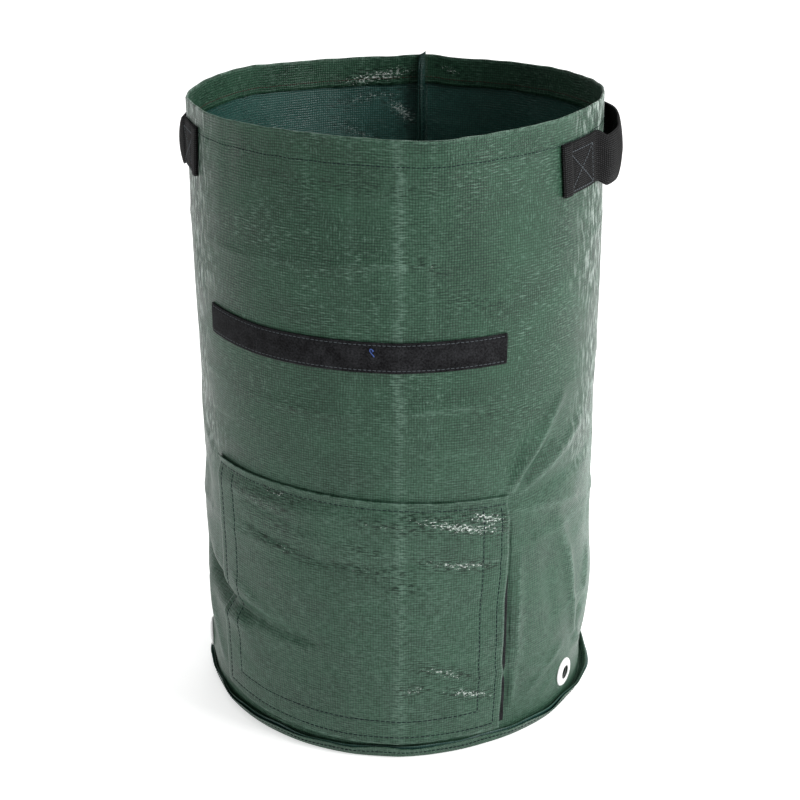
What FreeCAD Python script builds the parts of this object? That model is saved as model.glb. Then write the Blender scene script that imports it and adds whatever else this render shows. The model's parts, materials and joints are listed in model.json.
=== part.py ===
"""Planting bag of woven sheet, with a harvest flap, webbing handles and drain eyelets.

Millimetres, +Z up. The origin is the centre of the base, on the ground. An azimuth is in
degrees, counted from the front (-Y) towards the right-hand side (+X).
"""
import FreeCAD, Part
import math
import os

# Bag: a straight round wall on a flat round base
WALL_R = 165.5            # outer radius of the wall
SHEET = 1.0               # thickness of the woven sheet
HEIGHT = 508.0            # ground to rim
HEM_DEPTH = 25.0          # width of the rim's hem, which is folded inward
RIM_SEAM_DROP = 19.5      # rim down to the hem's seam
FIN_FOOT_R = 166.0        # where the turned-out base seam leaves the ground
FIN_WIDTH = 10.0          # width of the turned-out base seam
FIN_ANGLE = 60.0          # its slope, up from the ground
SEAM_ALLOWANCE = 9.0      # width of the standing back seam, inside the bag
THREAD = 0.5              # width of a line of stitches
THREAD_RISE = 0.3         # how far a line of stitches stands out of its cloth

# Harvest flap, sewn along its top over a window in the wall
FLAP_AZ = -4.0            # azimuth of the flap's centre
FLAP_HALF = 43.6          # half of the angle that the flap covers
FLAP_LOW = 15.0
FLAP_HIGH = 230.0
FLAP_SHEET = 0.8
HINGE_DROP = 7.5          # flap's top edge down to its hinge seam
TAPE_WIDTH = 20.0         # hook tape and loop tape
TAPE_INSET = 4.0          # flap's edge to the tape
LOOP_TAPE = 1.5           # thickness of the loop tape, pile included
HOOK_TAPE = 1.0           # thickness of the hook tape
TAPE_SEAM_INSET = 2.0     # tape's edge to its line of stitches
MESH_GAP = 0.35           # between the hook tape and the loop tape
WINDOW_INSET = 28.0       # flap's edge to the window's edge
WINDOW_HIGH = 214.0

# Strip of loop tape above the flap
PARK_AZ = -6.4
PARK_HALF = 44.4
PARK_LOW = 336.0
PARK_WIDTH = 24.0
PARK_RISE = 1.8
PARK_MARGIN = 2.0         # strip's edge to its line of stitches

# Handles: a band of webbing on each side, its ends folded under and sewn flat
HANDLE_AZ = 94.0          # azimuth of each handle's middle, to the right and to the left
TAB_OUTER = 38.0          # handle's middle to the far end of a sewn end
TAB_INNER = 18.5          # handle's middle to where the webbing leaves the wall
WEBBING = 2.0             # thickness
WEBBING_WIDTH = 37.0
WEBBING_HIGH = 488.0      # upper edge
FOLD_ANGLE = 2.2          # width of the folded-under end, as an angle
FOLD_RISE = 1.4           # thickness that the fold adds
LOOP_STANDOFF = 12.8      # wall to the inner face of the loop's middle
LOOP_GAP_ANGLE = 0.5      # sewn end to the loop, so that the loop can turn
WALL_CLEARANCE = 0.7      # wall to the loop's ends
BOX_WIDTH = 37.0          # boxed cross of stitches on a sewn end
BOX_HEIGHT = 28.0
BOX_DROP = 2.5            # middle of the webbing down to the middle of the box
BAR_DEPTH = 20.0          # depth of a bar that is cut down to a stitch line on the webbing

# Drain eyelets: a flanged barrel and a washer through the wall, just above the base
EYELET_AZ = (72.0, 144.0)     # to each side of the flap's centre
EYELET_Z = 31.0
EYELET_R = 12.5
BORE_R = 6.0
BARREL_R = 7.2
LIP_R = 8.8
BARREL_PLAY = 0.2
FLANGE = 1.2
WASHER = 1.0
LIP = 0.6
FLANGE_EDGE = 0.4         # rounding of the flange's rim
EYELET_SEAT = 0.05        # wall to the back of the flat flange

UP = FreeCAD.Vector(0, 0, 1)
CENTRE = FreeCAD.Vector(0, 0, 0)
INNER_R = WALL_R - SHEET
HEM_R = INNER_R - SHEET
HEM_LOW = HEIGHT - HEM_DEPTH
RIM_SEAM_Z = HEIGHT - RIM_SEAM_DROP
HINGE_Z = FLAP_HIGH - HINGE_DROP
LOOP_TAPE_R = WALL_R + LOOP_TAPE
HOOK_R = LOOP_TAPE_R + MESH_GAP
FLAP_R = HOOK_R + HOOK_TAPE
FLAP_OUTER_R = FLAP_R + FLAP_SHEET
TAPE_TOP = HINGE_Z - TAPE_INSET
WASHER_FACE = math.sqrt(INNER_R ** 2 - EYELET_R ** 2) - WASHER


def outward(azimuth):
    """Unit vector that points out of the bag at an azimuth."""
    angle = math.radians(azimuth)
    return FreeCAD.Vector(math.sin(angle), -math.cos(angle), 0)


def degrees_of(length, radius):
    """Angle that a length covers on a radius."""
    return math.degrees(length / radius)


def lathe(profile):
    """Solid of revolution about the bag's axis, from (radius, height) points."""
    points = [FreeCAD.Vector(radius, 0, height) for radius, height in profile]
    face = Part.Face(Part.makePolygon(points + points[:1]))
    return face.revolve(CENTRE, UP, 360)


def ring(r_in, r_out, z_low, z_high):
    """Full ring about the bag's axis."""
    return lathe([(r_in, z_low), (r_out, z_low), (r_out, z_high), (r_in, z_high)])


def arc_panel(r_in, r_out, az_from, az_to, z_low, z_high):
    """Sheet or tape that lies around the bag between two azimuths."""
    side = outward(az_from)
    points = [side * r_in + UP * z_low, side * r_out + UP * z_low,
              side * r_out + UP * z_high, side * r_in + UP * z_high]
    face = Part.Face(Part.makePolygon(points + points[:1]))
    return face.revolve(CENTRE, UP, az_to - az_from)


def radial_cylinder(radius, r_from, r_to, azimuth, height):
    """Cylinder that points out of the bag, between two distances from its axis."""
    side = outward(azimuth)
    return Part.makeCylinder(radius, r_to - r_from, side * r_from + UP * height, side)


def join(shapes):
    """One solid from shapes that touch."""
    return shapes[0].multiFuse(shapes[1:]).removeSplitter()


def eyelet_azimuths():
    """Name and azimuth of each eyelet."""
    front, rear = EYELET_AZ
    return {"front_right": FLAP_AZ + front, "front_left": FLAP_AZ - front,
            "rear_right": FLAP_AZ + rear, "rear_left": FLAP_AZ - rear}


def fin_point(along, across):
    """Radius and height of a point on the turned-out base seam.

    It lies so far up the slope from the ground, and so far in from the outer face.
    """
    slope = math.radians(FIN_ANGLE)
    return (FIN_FOOT_R + along * math.cos(slope) - across * math.sin(slope),
            along * math.sin(slope) + across * math.cos(slope))


def fin_point_at(across, radius=None, height=None):
    """The point on one face of the turned-out seam that has a given radius or height."""
    start = fin_point(0, across)
    slope = math.radians(FIN_ANGLE)
    if height is None:
        return fin_point((radius - start[0]) / math.cos(slope), across)
    return fin_point((height - start[1]) / math.sin(slope), across)


def window_cut():
    """Block that cuts the window under the flap out of the wall."""
    half = FLAP_HALF - degrees_of(WINDOW_INSET, WALL_R)
    return arc_panel(HEM_R, WALL_R + SHEET, FLAP_AZ - half, FLAP_AZ + half,
                     FLAP_LOW + WINDOW_INSET, WINDOW_HIGH)


def wall_panel():
    """Round wall: turned out at its foot, folded inward at its rim, with its window and holes."""
    foot = [(INNER_R, SHEET), fin_point_at(SHEET, height=SHEET), fin_point(FIN_WIDTH, SHEET),
            fin_point(FIN_WIDTH, 2 * SHEET), fin_point_at(2 * SHEET, radius=WALL_R)]
    rim = [(WALL_R, HEIGHT), (HEM_R, HEIGHT), (HEM_R, HEM_LOW), (INNER_R, HEM_LOW)]
    wall = lathe(foot + rim)
    wall = wall.cut(window_cut())
    for azimuth in eyelet_azimuths().values():
        hole = radial_cylinder(BARREL_R + BARREL_PLAY, HEM_R, WALL_R + SHEET, azimuth, EYELET_Z)
        wall = wall.cut(hole)
    return wall


def base_panel():
    """Flat round base, with its edge turned up against the wall's foot."""
    return lathe([(0, 0), fin_point(0, 0), fin_point(FIN_WIDTH, 0), fin_point(FIN_WIDTH, SHEET),
                  fin_point_at(SHEET, height=SHEET), (0, SHEET)])


def back_seam_allowance():
    """The wall's two ends, standing inward from the back seam."""
    width = 2 * SHEET
    depth = SEAM_ALLOWANCE + SHEET
    corner = FreeCAD.Vector(-SHEET, INNER_R - SEAM_ALLOWANCE, SHEET)
    ridge = Part.makeBox(width, depth, HEM_LOW - SHEET, corner)
    return ridge.common(Part.makeCylinder(INNER_R, HEIGHT))


def back_seam_stitching():
    """The back seam's line of stitches, seen on both faces of the allowance."""
    near = INNER_R - SEAM_ALLOWANCE / 2
    height = HEM_LOW - 3 * SHEET
    lines = []
    for side in (-1, 1):
        x = side * (SHEET + THREAD_RISE / 2) - THREAD_RISE / 2
        lines.append(Part.makeBox(THREAD_RISE, THREAD, height, FreeCAD.Vector(x, near, 2 * SHEET)))
    return Part.makeCompound(lines)


def rim_stitching():
    """The hem's seam, seen outside the wall and inside the hem."""
    low = RIM_SEAM_Z - THREAD / 2
    high = RIM_SEAM_Z + THREAD / 2
    outside = ring(WALL_R, WALL_R + THREAD_RISE, low, high)
    inside = ring(HEM_R - THREAD_RISE, HEM_R, low, high)
    return Part.makeCompound([outside, inside])


def base_seam_stitching():
    """The seam that joins the wall to the base, seen on both faces of the turned-out edge."""
    low = FIN_WIDTH / 2
    high = low + THREAD
    rings = []
    for near, far in ((-THREAD_RISE, 0), (2 * SHEET, 2 * SHEET + THREAD_RISE)):
        rings.append(lathe([fin_point(low, near), fin_point(high, near),
                            fin_point(high, far), fin_point(low, far)]))
    return Part.makeCompound(rings)


def tape_footprints():
    """Azimuths and heights of the three tapes that close the flap."""
    inset = degrees_of(TAPE_INSET, FLAP_R)
    width = degrees_of(TAPE_WIDTH, FLAP_R)
    left = FLAP_AZ - FLAP_HALF + inset
    right = FLAP_AZ + FLAP_HALF - inset
    low = FLAP_LOW + TAPE_INSET
    return {"left": (left, left + width, low, TAPE_TOP),
            "right": (right - width, right, low, TAPE_TOP),
            "bottom": (left + width, right - width, low, low + TAPE_WIDTH)}


def border_lines(r_face, offsets, az_mid, half, z_low, z_high):
    """Lines of stitches along the left, lower and right edges, one U for each offset."""
    lines = []
    r_top = r_face + THREAD_RISE
    thread = degrees_of(THREAD, r_face)
    for offset in offsets:
        reach = half - degrees_of(offset, r_face)
        low = z_low + offset
        left = az_mid - reach
        right = az_mid + reach
        lines.append(join([
            arc_panel(r_face, r_top, left, right, low, low + THREAD),
            arc_panel(r_face, r_top, left, left + thread, low, z_high),
            arc_panel(r_face, r_top, right - thread, right, low, z_high)]))
    return Part.makeCompound(lines)


def flap_nodes():
    """The flap's sheet, which hangs from its seam, and its hook tapes and stitches."""
    seam_offsets = (TAPE_INSET + TAPE_SEAM_INSET, TAPE_INSET + TAPE_WIDTH - TAPE_SEAM_INSET)
    nodes = {
        "flap_panel": arc_panel(FLAP_R, FLAP_OUTER_R, FLAP_AZ - FLAP_HALF, FLAP_AZ + FLAP_HALF,
                                FLAP_LOW, HINGE_Z - THREAD),
        "flap_border_stitching": border_lines(FLAP_OUTER_R, seam_offsets, FLAP_AZ, FLAP_HALF,
                                              FLAP_LOW, TAPE_TOP)}
    for side, (az_from, az_to, low, high) in tape_footprints().items():
        nodes["flap_hook_" + side] = arc_panel(HOOK_R, FLAP_R, az_from, az_to, low, high)
    return nodes


def window_nodes():
    """The flap's sewn top edge, its seam, and the loop tapes around the window."""
    left = FLAP_AZ - FLAP_HALF
    right = FLAP_AZ + FLAP_HALF
    band_r = WALL_R + FLAP_SHEET
    nodes = {
        "flap_sewn_edge": arc_panel(WALL_R, band_r, left, right, HINGE_Z, FLAP_HIGH),
        "flap_hinge_stitching": arc_panel(band_r, band_r + THREAD_RISE, left, right,
                                          HINGE_Z + THREAD, HINGE_Z + 2 * THREAD)}
    for side, (az_from, az_to, low, high) in tape_footprints().items():
        nodes["window_loop_" + side] = arc_panel(WALL_R, LOOP_TAPE_R, az_from, az_to, low, high)
    return nodes


def park_nodes():
    """The strip of loop tape that holds the raised flap, and its seam."""
    left = PARK_AZ - PARK_HALF
    right = PARK_AZ + PARK_HALF
    strip_r = WALL_R + PARK_RISE
    high = PARK_LOW + PARK_WIDTH
    lines = []
    for low in (PARK_LOW + PARK_MARGIN, high - PARK_MARGIN - THREAD):
        lines.append(arc_panel(strip_r, strip_r + THREAD_RISE, left, right, low, low + THREAD))
    return {"park_strip": arc_panel(WALL_R, strip_r, left, right, PARK_LOW, high),
            "park_strip_stitching": Part.makeCompound(lines)}


def eyelet(azimuth):
    """Moulded eyelet: a flange outside, a barrel through the wall and a lip rolled over inside."""
    seat = WALL_R + EYELET_SEAT
    flange = radial_cylinder(EYELET_R, seat, seat + FLANGE, azimuth, EYELET_Z)
    front = [edge for edge in flange.Edges
             if edge.BoundBox.Center.dot(outward(azimuth)) > seat + FLANGE / 2]
    flange = flange.makeFillet(FLANGE_EDGE, front)
    barrel = radial_cylinder(BARREL_R, WASHER_FACE - LIP, seat + FLANGE / 2, azimuth, EYELET_Z)
    lip = radial_cylinder(LIP_R, WASHER_FACE - LIP, WASHER_FACE, azimuth, EYELET_Z)
    bore = radial_cylinder(BORE_R, HEM_R - LIP_R, WALL_R + LIP_R, azimuth, EYELET_Z)
    return join([flange, barrel, lip]).cut(bore)


def eyelet_washer(azimuth):
    """Flat washer between the wall's inner face and the eyelet's rolled lip."""
    disc = radial_cylinder(EYELET_R, WASHER_FACE, WASHER_FACE + WASHER, azimuth, EYELET_Z)
    hole = radial_cylinder(BARREL_R + BARREL_PLAY / 2, HEM_R - LIP_R, WALL_R, azimuth, EYELET_Z)
    return disc.cut(hole)


def handle_tab(azimuth, sign):
    """Sewn end of a handle, with its last few millimetres folded under."""
    low = WEBBING_HIGH - WEBBING_WIDTH
    outer = azimuth + sign * TAB_OUTER
    inner = azimuth + sign * TAB_INNER
    folded = outer - sign * FOLD_ANGLE
    tab = arc_panel(WALL_R, WALL_R + WEBBING, min(outer, inner), max(outer, inner),
                    low, WEBBING_HIGH)
    fold = arc_panel(WALL_R, WALL_R + WEBBING + FOLD_RISE, min(outer, folded), max(outer, folded),
                     low, WEBBING_HIGH)
    return join([tab, fold])


def tab_stitching(azimuth, sign):
    """Box of stitches crossed by both diagonals, on the face of a sewn end."""
    r_face = WALL_R + WEBBING
    middle = azimuth + sign * (TAB_OUTER + TAB_INNER) / 2
    x = BOX_WIDTH / 2
    z = BOX_HEIGHT / 2
    corners = [(-x, -z), (x, -z), (x, z), (-x, z)]
    runs = [(corners[i], corners[(i + 1) % 4]) for i in range(4)]
    runs += [(corners[0], corners[2]), (corners[1], corners[3])]
    bars = []
    for start, end in runs:
        across = end[0] - start[0]
        rise = end[1] - start[1]
        bar = Part.makeBox(math.hypot(across, rise) + THREAD, BAR_DEPTH, THREAD,
                           FreeCAD.Vector(-THREAD / 2, -BAR_DEPTH / 2, -THREAD / 2))
        bar.rotate(CENTRE, FreeCAD.Vector(0, -1, 0), math.degrees(math.atan2(rise, across)))
        bar.translate(FreeCAD.Vector(start[0], -r_face, start[1]))
        bars.append(bar)
    pattern = join(bars)
    pattern.rotate(CENTRE, UP, middle)
    pattern.translate(UP * (WEBBING_HIGH - WEBBING_WIDTH / 2 - BOX_DROP))
    shell = ring(r_face, r_face + THREAD_RISE, WEBBING_HIGH - WEBBING_WIDTH, WEBBING_HIGH)
    return pattern.common(shell)


def loop_frame():
    """The loop's inner arc: start's distance out and sideways, peak, arc's centre and radius."""
    reach = math.radians(TAB_INNER - LOOP_GAP_ANGLE)
    start_r = WALL_R + WALL_CLEARANCE
    start = start_r * math.cos(reach)
    side = start_r * math.sin(reach)
    peak = WALL_R + LOOP_STANDOFF
    rise = peak - start
    radius = (side ** 2 + rise ** 2) / (2 * rise)
    return start, side, peak, peak - radius, radius


def handle_loop(azimuth):
    """Free middle of a handle, bowed out of the wall in one arc."""
    start, side, peak, arc_centre, radius = loop_frame()
    scale = (radius + WEBBING) / radius
    outer_start = arc_centre + (start - arc_centre) * scale
    outer_side = side * scale
    inner = Part.Arc(FreeCAD.Vector(side, -start, 0), FreeCAD.Vector(0, -peak, 0),
                     FreeCAD.Vector(-side, -start, 0)).toShape()
    outer = Part.Arc(FreeCAD.Vector(outer_side, -outer_start, 0),
                     FreeCAD.Vector(0, -peak - WEBBING, 0),
                     FreeCAD.Vector(-outer_side, -outer_start, 0)).toShape()
    ends = [Part.makeLine(FreeCAD.Vector(sign * side, -start, 0),
                          FreeCAD.Vector(sign * outer_side, -outer_start, 0)) for sign in (-1, 1)]
    outline = Part.Wire(Part.__sortEdges__([inner, outer] + ends))
    loop = Part.Face(outline).extrude(UP * WEBBING_WIDTH)
    loop.translate(UP * (WEBBING_HIGH - WEBBING_WIDTH))
    loop.rotate(CENTRE, UP, azimuth)
    return loop


def bag_nodes():
    """Every node of the bag, by name."""
    nodes = {"wall_panel": wall_panel(),
             "base_panel": base_panel(),
             "back_seam_allowance": back_seam_allowance(),
             "back_seam_stitching": back_seam_stitching(),
             "rim_stitching": rim_stitching(),
             "base_seam_stitching": base_seam_stitching()}
    nodes.update(window_nodes())
    nodes.update(flap_nodes())
    nodes.update(park_nodes())
    for place, azimuth in eyelet_azimuths().items():
        nodes["eyelet_" + place] = eyelet(azimuth)
        nodes["eyelet_washer_" + place] = eyelet_washer(azimuth)
    for side, sign in (("right", 1), ("left", -1)):
        azimuth = sign * HANDLE_AZ
        nodes[side + "_handle_loop"] = handle_loop(azimuth)
        for end, way in (("front", -sign), ("rear", sign)):
            nodes[f"{side}_handle_{end}_tab"] = handle_tab(azimuth, way)
            nodes[f"{side}_handle_{end}_stitching"] = tab_stitching(azimuth, way)
    return nodes


os.makedirs("parts", exist_ok=True)
for name, shape in bag_nodes().items():
    shape.exportStep(os.path.join("parts", name + ".step"))
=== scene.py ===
"""Looks of a tall planting bag of woven sheet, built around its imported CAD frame.

Metres, +Z up. An azimuth is in degrees, counted from the front (-Y) towards +X. "Lift" is a
distance out from the wall's outer face, and a sheet's UV map holds its flat cloth in metres.
"""
import math

import bpy
import numpy as np
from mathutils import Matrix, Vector
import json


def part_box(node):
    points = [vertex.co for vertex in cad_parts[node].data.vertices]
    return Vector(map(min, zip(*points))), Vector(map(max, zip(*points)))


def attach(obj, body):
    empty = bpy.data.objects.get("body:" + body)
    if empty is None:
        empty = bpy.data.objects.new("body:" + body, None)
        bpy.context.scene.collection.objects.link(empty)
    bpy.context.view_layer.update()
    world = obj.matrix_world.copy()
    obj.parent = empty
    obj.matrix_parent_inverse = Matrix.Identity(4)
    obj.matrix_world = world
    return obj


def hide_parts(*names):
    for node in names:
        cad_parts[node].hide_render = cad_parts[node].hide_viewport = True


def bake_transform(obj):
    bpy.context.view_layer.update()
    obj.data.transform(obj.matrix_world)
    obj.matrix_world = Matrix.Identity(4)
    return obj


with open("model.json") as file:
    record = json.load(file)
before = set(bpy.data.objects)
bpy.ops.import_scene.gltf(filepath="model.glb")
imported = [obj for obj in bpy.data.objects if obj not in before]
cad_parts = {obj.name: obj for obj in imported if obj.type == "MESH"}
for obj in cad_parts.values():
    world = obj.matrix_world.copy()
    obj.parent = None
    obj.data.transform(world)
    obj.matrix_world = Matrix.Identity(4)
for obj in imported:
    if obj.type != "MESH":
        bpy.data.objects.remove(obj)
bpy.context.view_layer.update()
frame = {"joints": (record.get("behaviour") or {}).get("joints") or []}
JOINTS = {joint["name"]: joint for joint in frame["joints"]}
MM = 0.001


def azimuth_of(point):
    """Azimuth of a point, in degrees."""
    return math.degrees(math.atan2(point[0], -point[1]))


def heights(name):
    """Heights of the bottom and the top of a node."""
    low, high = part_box(name)
    return low.z, high.z


# The wall, from the frame
WALL_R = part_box("rim_stitching")[1].x - 0.3 * MM
RIM_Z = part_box("wall_panel")[1].z
RIM_SEAM_Z = sum(heights("rim_stitching")) / 2
HEM_DEPTH = 25 * MM
SHEET = 0.5 * MM
HEM_GAP = 0.9 * MM            # half of the space between the wall and its hem
SEAM_WIDTH = 9 * MM           # standing back seam
SEAM_AZ = 180.0

# The flap, from the frame
HINGE = JOINTS["flap_lift"]
FLAP_AZ = azimuth_of(HINGE["pos_m"])
FLAP_HALF = 43.6
FLAP_AZS = (FLAP_AZ - FLAP_HALF, FLAP_AZ + FLAP_HALF)
FLAP_LOW = heights("flap_panel")[0]
FLAP_HIGH = heights("flap_sewn_edge")[1]
TAPE_LOW, TAPE_HIGH = heights("flap_hook_bottom")
FLAP_SEAMS = (6.5 * MM, 22 * MM)      # flap's edge to its two lines of stitches
WINDOW_AZ = (-38.25, 30.0)
WINDOW_Z = (43 * MM, 214 * MM)

# The strip above it
PARK_AZ = -6.4
PARK_HALF = 44.4
PARK_LOW, PARK_HIGH = heights("park_strip")

# Handles and eyelets
HANDLE_AZ = azimuth_of(JOINTS["right_handle_swing"]["pos_m"])
STRAP_LOW, STRAP_HIGH = heights("right_handle_loop")
STRAP = 1.7 * MM
EYELETS = {}                  # azimuth and height of each
for place in ("front_right", "front_left", "rear_right", "rear_left"):
    middle = sum(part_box("eyelet_" + place), Vector()) / 2
    EYELETS[place] = (azimuth_of(middle), middle.z)

# Camera: azimuth, distance from the bag's axis, height, tilt and turn (degrees), and lens (mm)
CAMERA_AZ = 8.75
CAMERA_AWAY = 1.2645
CAMERA_Z = 0.7597
CAMERA_PITCH = 22.08
CAMERA_YAW = 0.114
CAMERA_LENS = 72.1

rng = np.random.default_rng(11)


# ---- numbers

def smooth(low, high, x):
    """0 below low, 1 above high, and a smooth step between them."""
    t = np.clip((np.asarray(x, float) - low) / (high - low), 0, 1)
    return t * t * (3 - 2 * t)


def turn(az):
    """An azimuth brought to -180 to 180 degrees."""
    return (np.asarray(az, float) + 180) % 360 - 180


def arc_degrees(length):
    """Angle that a length covers on the wall."""
    return math.degrees(length / WALL_R)


def arc_mm(az, start):
    """Distance along the wall from one azimuth to another, in mm."""
    return np.radians(turn(az - start)) * WALL_R / MM


def sine(degrees):
    """Sine of an angle in degrees."""
    return np.sin(np.radians(degrees))


def bell(x, centre, width):
    """1 at a centre and falling to 0 over a width to each side."""
    return np.exp(-((x - centre) / width) ** 2)


def bump(az, centre, width):
    """The same round the bag, in degrees."""
    return bell(turn(az - centre), 0, width)


def grid(*values):
    """Numbers or arrays as arrays of one shape."""
    return np.broadcast_arrays(*(np.asarray(value, float) for value in values))


def polar(az, radius, height):
    """Points at azimuths, radii and heights."""
    angle = np.radians(az)
    return np.stack([radius * np.sin(angle), -radius * np.cos(angle), height], -1)


# ---- the wall's shape

# Azimuth, how far the rim stands out (mm) and how far it rises (mm), round the rim. The bag was
# packed flat, so its rim has corners where it was folded and flatter sides between them.
RIM_SHAPE = [
    (-180, 1.5, 3.5), (-172, -0.5, 0.5), (-140, 0, 0), (-120, 0, 3), (-105, 0.5, 2), (-90, 0, 1),
    (-77, -0.4, 0.5), (-66, -4.6, 0.5), (-50, -3.8, 1), (-28, -6, 2), (-5, -5, 1.5), (8, -1, 0.5),
    (18.5, 2.5, 0), (36, -6, 1.5), (57, -8.5, 3), (70, -7.5, 4), (80, -3, 6), (88, -2.5, 7),
    (100, -2.5, 6.5), (112, -2, 5), (130, -1, 3.5), (150, -0.5, 2), (172, -0.5, 0.5),
    (180, 1.5, 3.5)]

# Azimuth and how far the wall's foot stands out (mm), round the foot
FOOT_SHAPE = [(-180, -0.5), (-120, -1.5), (-80, -3.5), (-45, -3), (0, -2.5), (35, -2.5), (60, -1),
              (80, -2.0), (98, -3.5), (116, -1.5), (140, 0), (180, -0.5)]

# Upright packing creases: azimuth, rise (mm) and half width (mm)
PACKING_CREASES = [(9.3, 1.3, 26), (-77, 1.2, 18), (97, 1.2, 20), (-3, 0.2, 8), (17.5, 0.25, 8),
                   (140, 0.4, 12), (-130, 0.4, 12)]

# Folds: from (azimuth, mm up) to (azimuth, mm up), rise (mm, negative is a valley), half width (mm)
FOLDS = [
    (-72, 122, -49, 108, -11.5, 10), (-49, 108, -32, 106, -5.2, 7), (-32, 106, -15, 101, -2.6, 5),
    (-68, 96, -56, 40, 2.8, 8), (-44, 132, -30, 112, 1.6, 6), (-42, 92, -32, 60, 1.0, 9),
    (41.4, 152, 41.6, 70, -2.2, 1.8), (41.6, 66, 41.4, 28, -2.0, 1.9),
    (41.0, 200, 41.2, 146, -1.6, 1.3), (44.6, 165, 44.9, 72, 2.2, 5), (43.8, 64, 43.6, 32, 2.0, 4),
    (-62, 140, -53, 126, 1.8, 9), (-56, 98, -40, 92, 1.6, 9),
    (-73, 222, -63, 180, -2.2, 14), (-80, 205, -66, 195, -1.5, 11), (-72, 160, -60, 150, 1.3, 12),
    (41, 230, 59, 292, 3.0, 6), (43, 228, 55, 258, -2.6, 5), (44, 226, 72, 262, 2.9, 7),
    (42, 221, 78, 226, -2.6, 7), (43, 214, 70, 196, 2.2, 7), (40, 236, 46, 275, -1.8, 4),
    (60, 190, 70, 120, 2.5, 8), (66, 150, 73, 66, 3.0, 5), (73, 66, 80, 42, 2.3, 5),
    (84, 130, 79, 90, 2.6, 6), (79, 90, 73, 60, -2.5, 6), (56, 160, 60, 90, -2.0, 8),
    (65, 62, 50, 36, 1.7, 4.5), (63, 38, 55, 24, 1.5, 3.5), (62, 48, 46, 44, -1.6, 4.5),
    (42, 66, 60, 64, -0.8, 4), (90, 210, 84, 150, -1.6, 12), (96, 240, 88, 180, 1.4, 12),
    (-60, 236, -74, 268, 1.2, 9), (-52, 232, -62, 246, -1.0, 6),
    (120, 300, 135, 180, 1.2, 12), (150, 220, 165, 120, -1.2, 12), (-120, 280, -104, 170, 1.2, 13),
    (-150, 200, -135, 90, -1.2, 12), (-165, 330, -140, 300, 0.9, 9), (170, 400, 140, 360, 0.9, 10),
    (110, 120, 128, 60, 1.3, 10), (-115, 130, -98, 60, 1.4, 10)]

# Swellings and hollows of the sides: rise (mm), azimuth, half width (degrees), mm up and
# half height (mm)
SWELLS = [(3.6, 100, 26, 88, 36), (-3.2, 95, 26, 30, 13), (-1.8, 98, 30, 235, 60),
          (-2.4, -80, 24, 48, 20), (-1.2, -82, 20, 285, 50)]
EYELET_HOLE = 8.4 * MM
FLAT_ROUND_EYELET = 17 * MM   # radius in which an eyelet holds the cloth flat

# Level creases from packing: mm up, from azimuth, to azimuth, rise (mm)
LEVEL_CREASES = [(414, -60, 62, 0.5), (302, -75, 80, 0.3), (268, -40, 75, -0.5),
                 (178, -60, 50, 1.1), (96, -30, 50, 0.7), (302, 110, 250, 0.8),
                 (414, 120, 240, 0.7), (176, 105, 255, 0.8)]


def make_crumples(count):
    """Small chance creases all over the wall, as rows of azimuth, height, run, rise and width."""
    az = rng.uniform(-180, 180, count)
    z = rng.uniform(15, 500, count)
    heading = rng.normal(0, 0.5, count) + np.where(rng.random(count) < 0.3, math.pi / 2, 0)
    length = rng.uniform(12, 60, count)
    rise = rng.uniform(0.10, 0.34, count) * np.where(rng.random(count) < 0.5, 1, -1)
    width = rng.uniform(2.2, 6, count)
    return np.stack([az, z, length * np.cos(heading), length * np.sin(heading), rise, width], 1)


CRUMPLES = make_crumples(260)


def ridge(az, z, start, run, rise, width, sharp):
    """Height of one crease. Start is (azimuth, mm), run is (mm across, mm up)."""
    x = arc_mm(az, start[0])
    y = z / MM - start[1]
    length = run[0] ** 2 + run[1] ** 2
    t = np.clip((x * run[0] + y * run[1]) / length, 0, 1)
    away = np.hypot(x - t * run[0], y - t * run[1]) / width
    profile = np.exp(-away) if sharp else np.exp(-away * away)
    return rise * profile * (0.35 + 0.65 * np.sin(math.pi * (0.08 + 0.84 * t)))


def fold(az, z, az_a, z_a, az_b, z_b, rise, width, sharp=False):
    """Height of a crease from one place (azimuth, mm up) to another."""
    run = (math.radians(turn(az_b - az_a)) * WALL_R / MM, z_b - z_a)
    return ridge(az, z, (az_a, z_a), run, rise, width, sharp)


def level_crease(az, mm, level, az_a, az_b):
    """How far places are above a level crease (mm), and how strong it is at their azimuths."""
    strength = smooth(0, 12, turn(az - az_a) % 360) * smooth(0, 12, turn(az_b - az) % 360)
    return mm - level - 2.5 * sine(az * 4 + level), strength


def with_crumples(total, az, z, crumples, share=None, reach=80):
    """A shape with the small creases within reach (mm) added, or its wear with a share of them."""
    total = np.array(total)
    for az_a, z_a, across, up, rise, width in crumples:
        near = (np.abs(turn(az - az_a)) < 40) & (np.abs(z / MM - z_a) < reach)
        if near.any():
            size = (rise, width) if share is None else (share * abs(rise), 2)
            total[near] += ridge(az[near], z[near], (az_a, z_a), (across, up), *size, True)
    return total


def rim_shape(az):
    """How far the rim stands out and rises at azimuths, in mm."""
    points = np.array(RIM_SHAPE, float)
    az = turn(az)
    spread = (-4, -2, 0, 2, 4)
    out, rise = (sum(np.interp(turn(az + away), points[:, 0], column) for away in spread) / 5
                 for column in points.T[1:])
    ripple = sine(17 * az) + sine(29 * az + 70) + sine(43 * az + 20)
    flutter = sine(13 * az + 130) + sine(37 * az + 10)
    return out + 0.2 * flutter, rise + 0.12 * ripple


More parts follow.
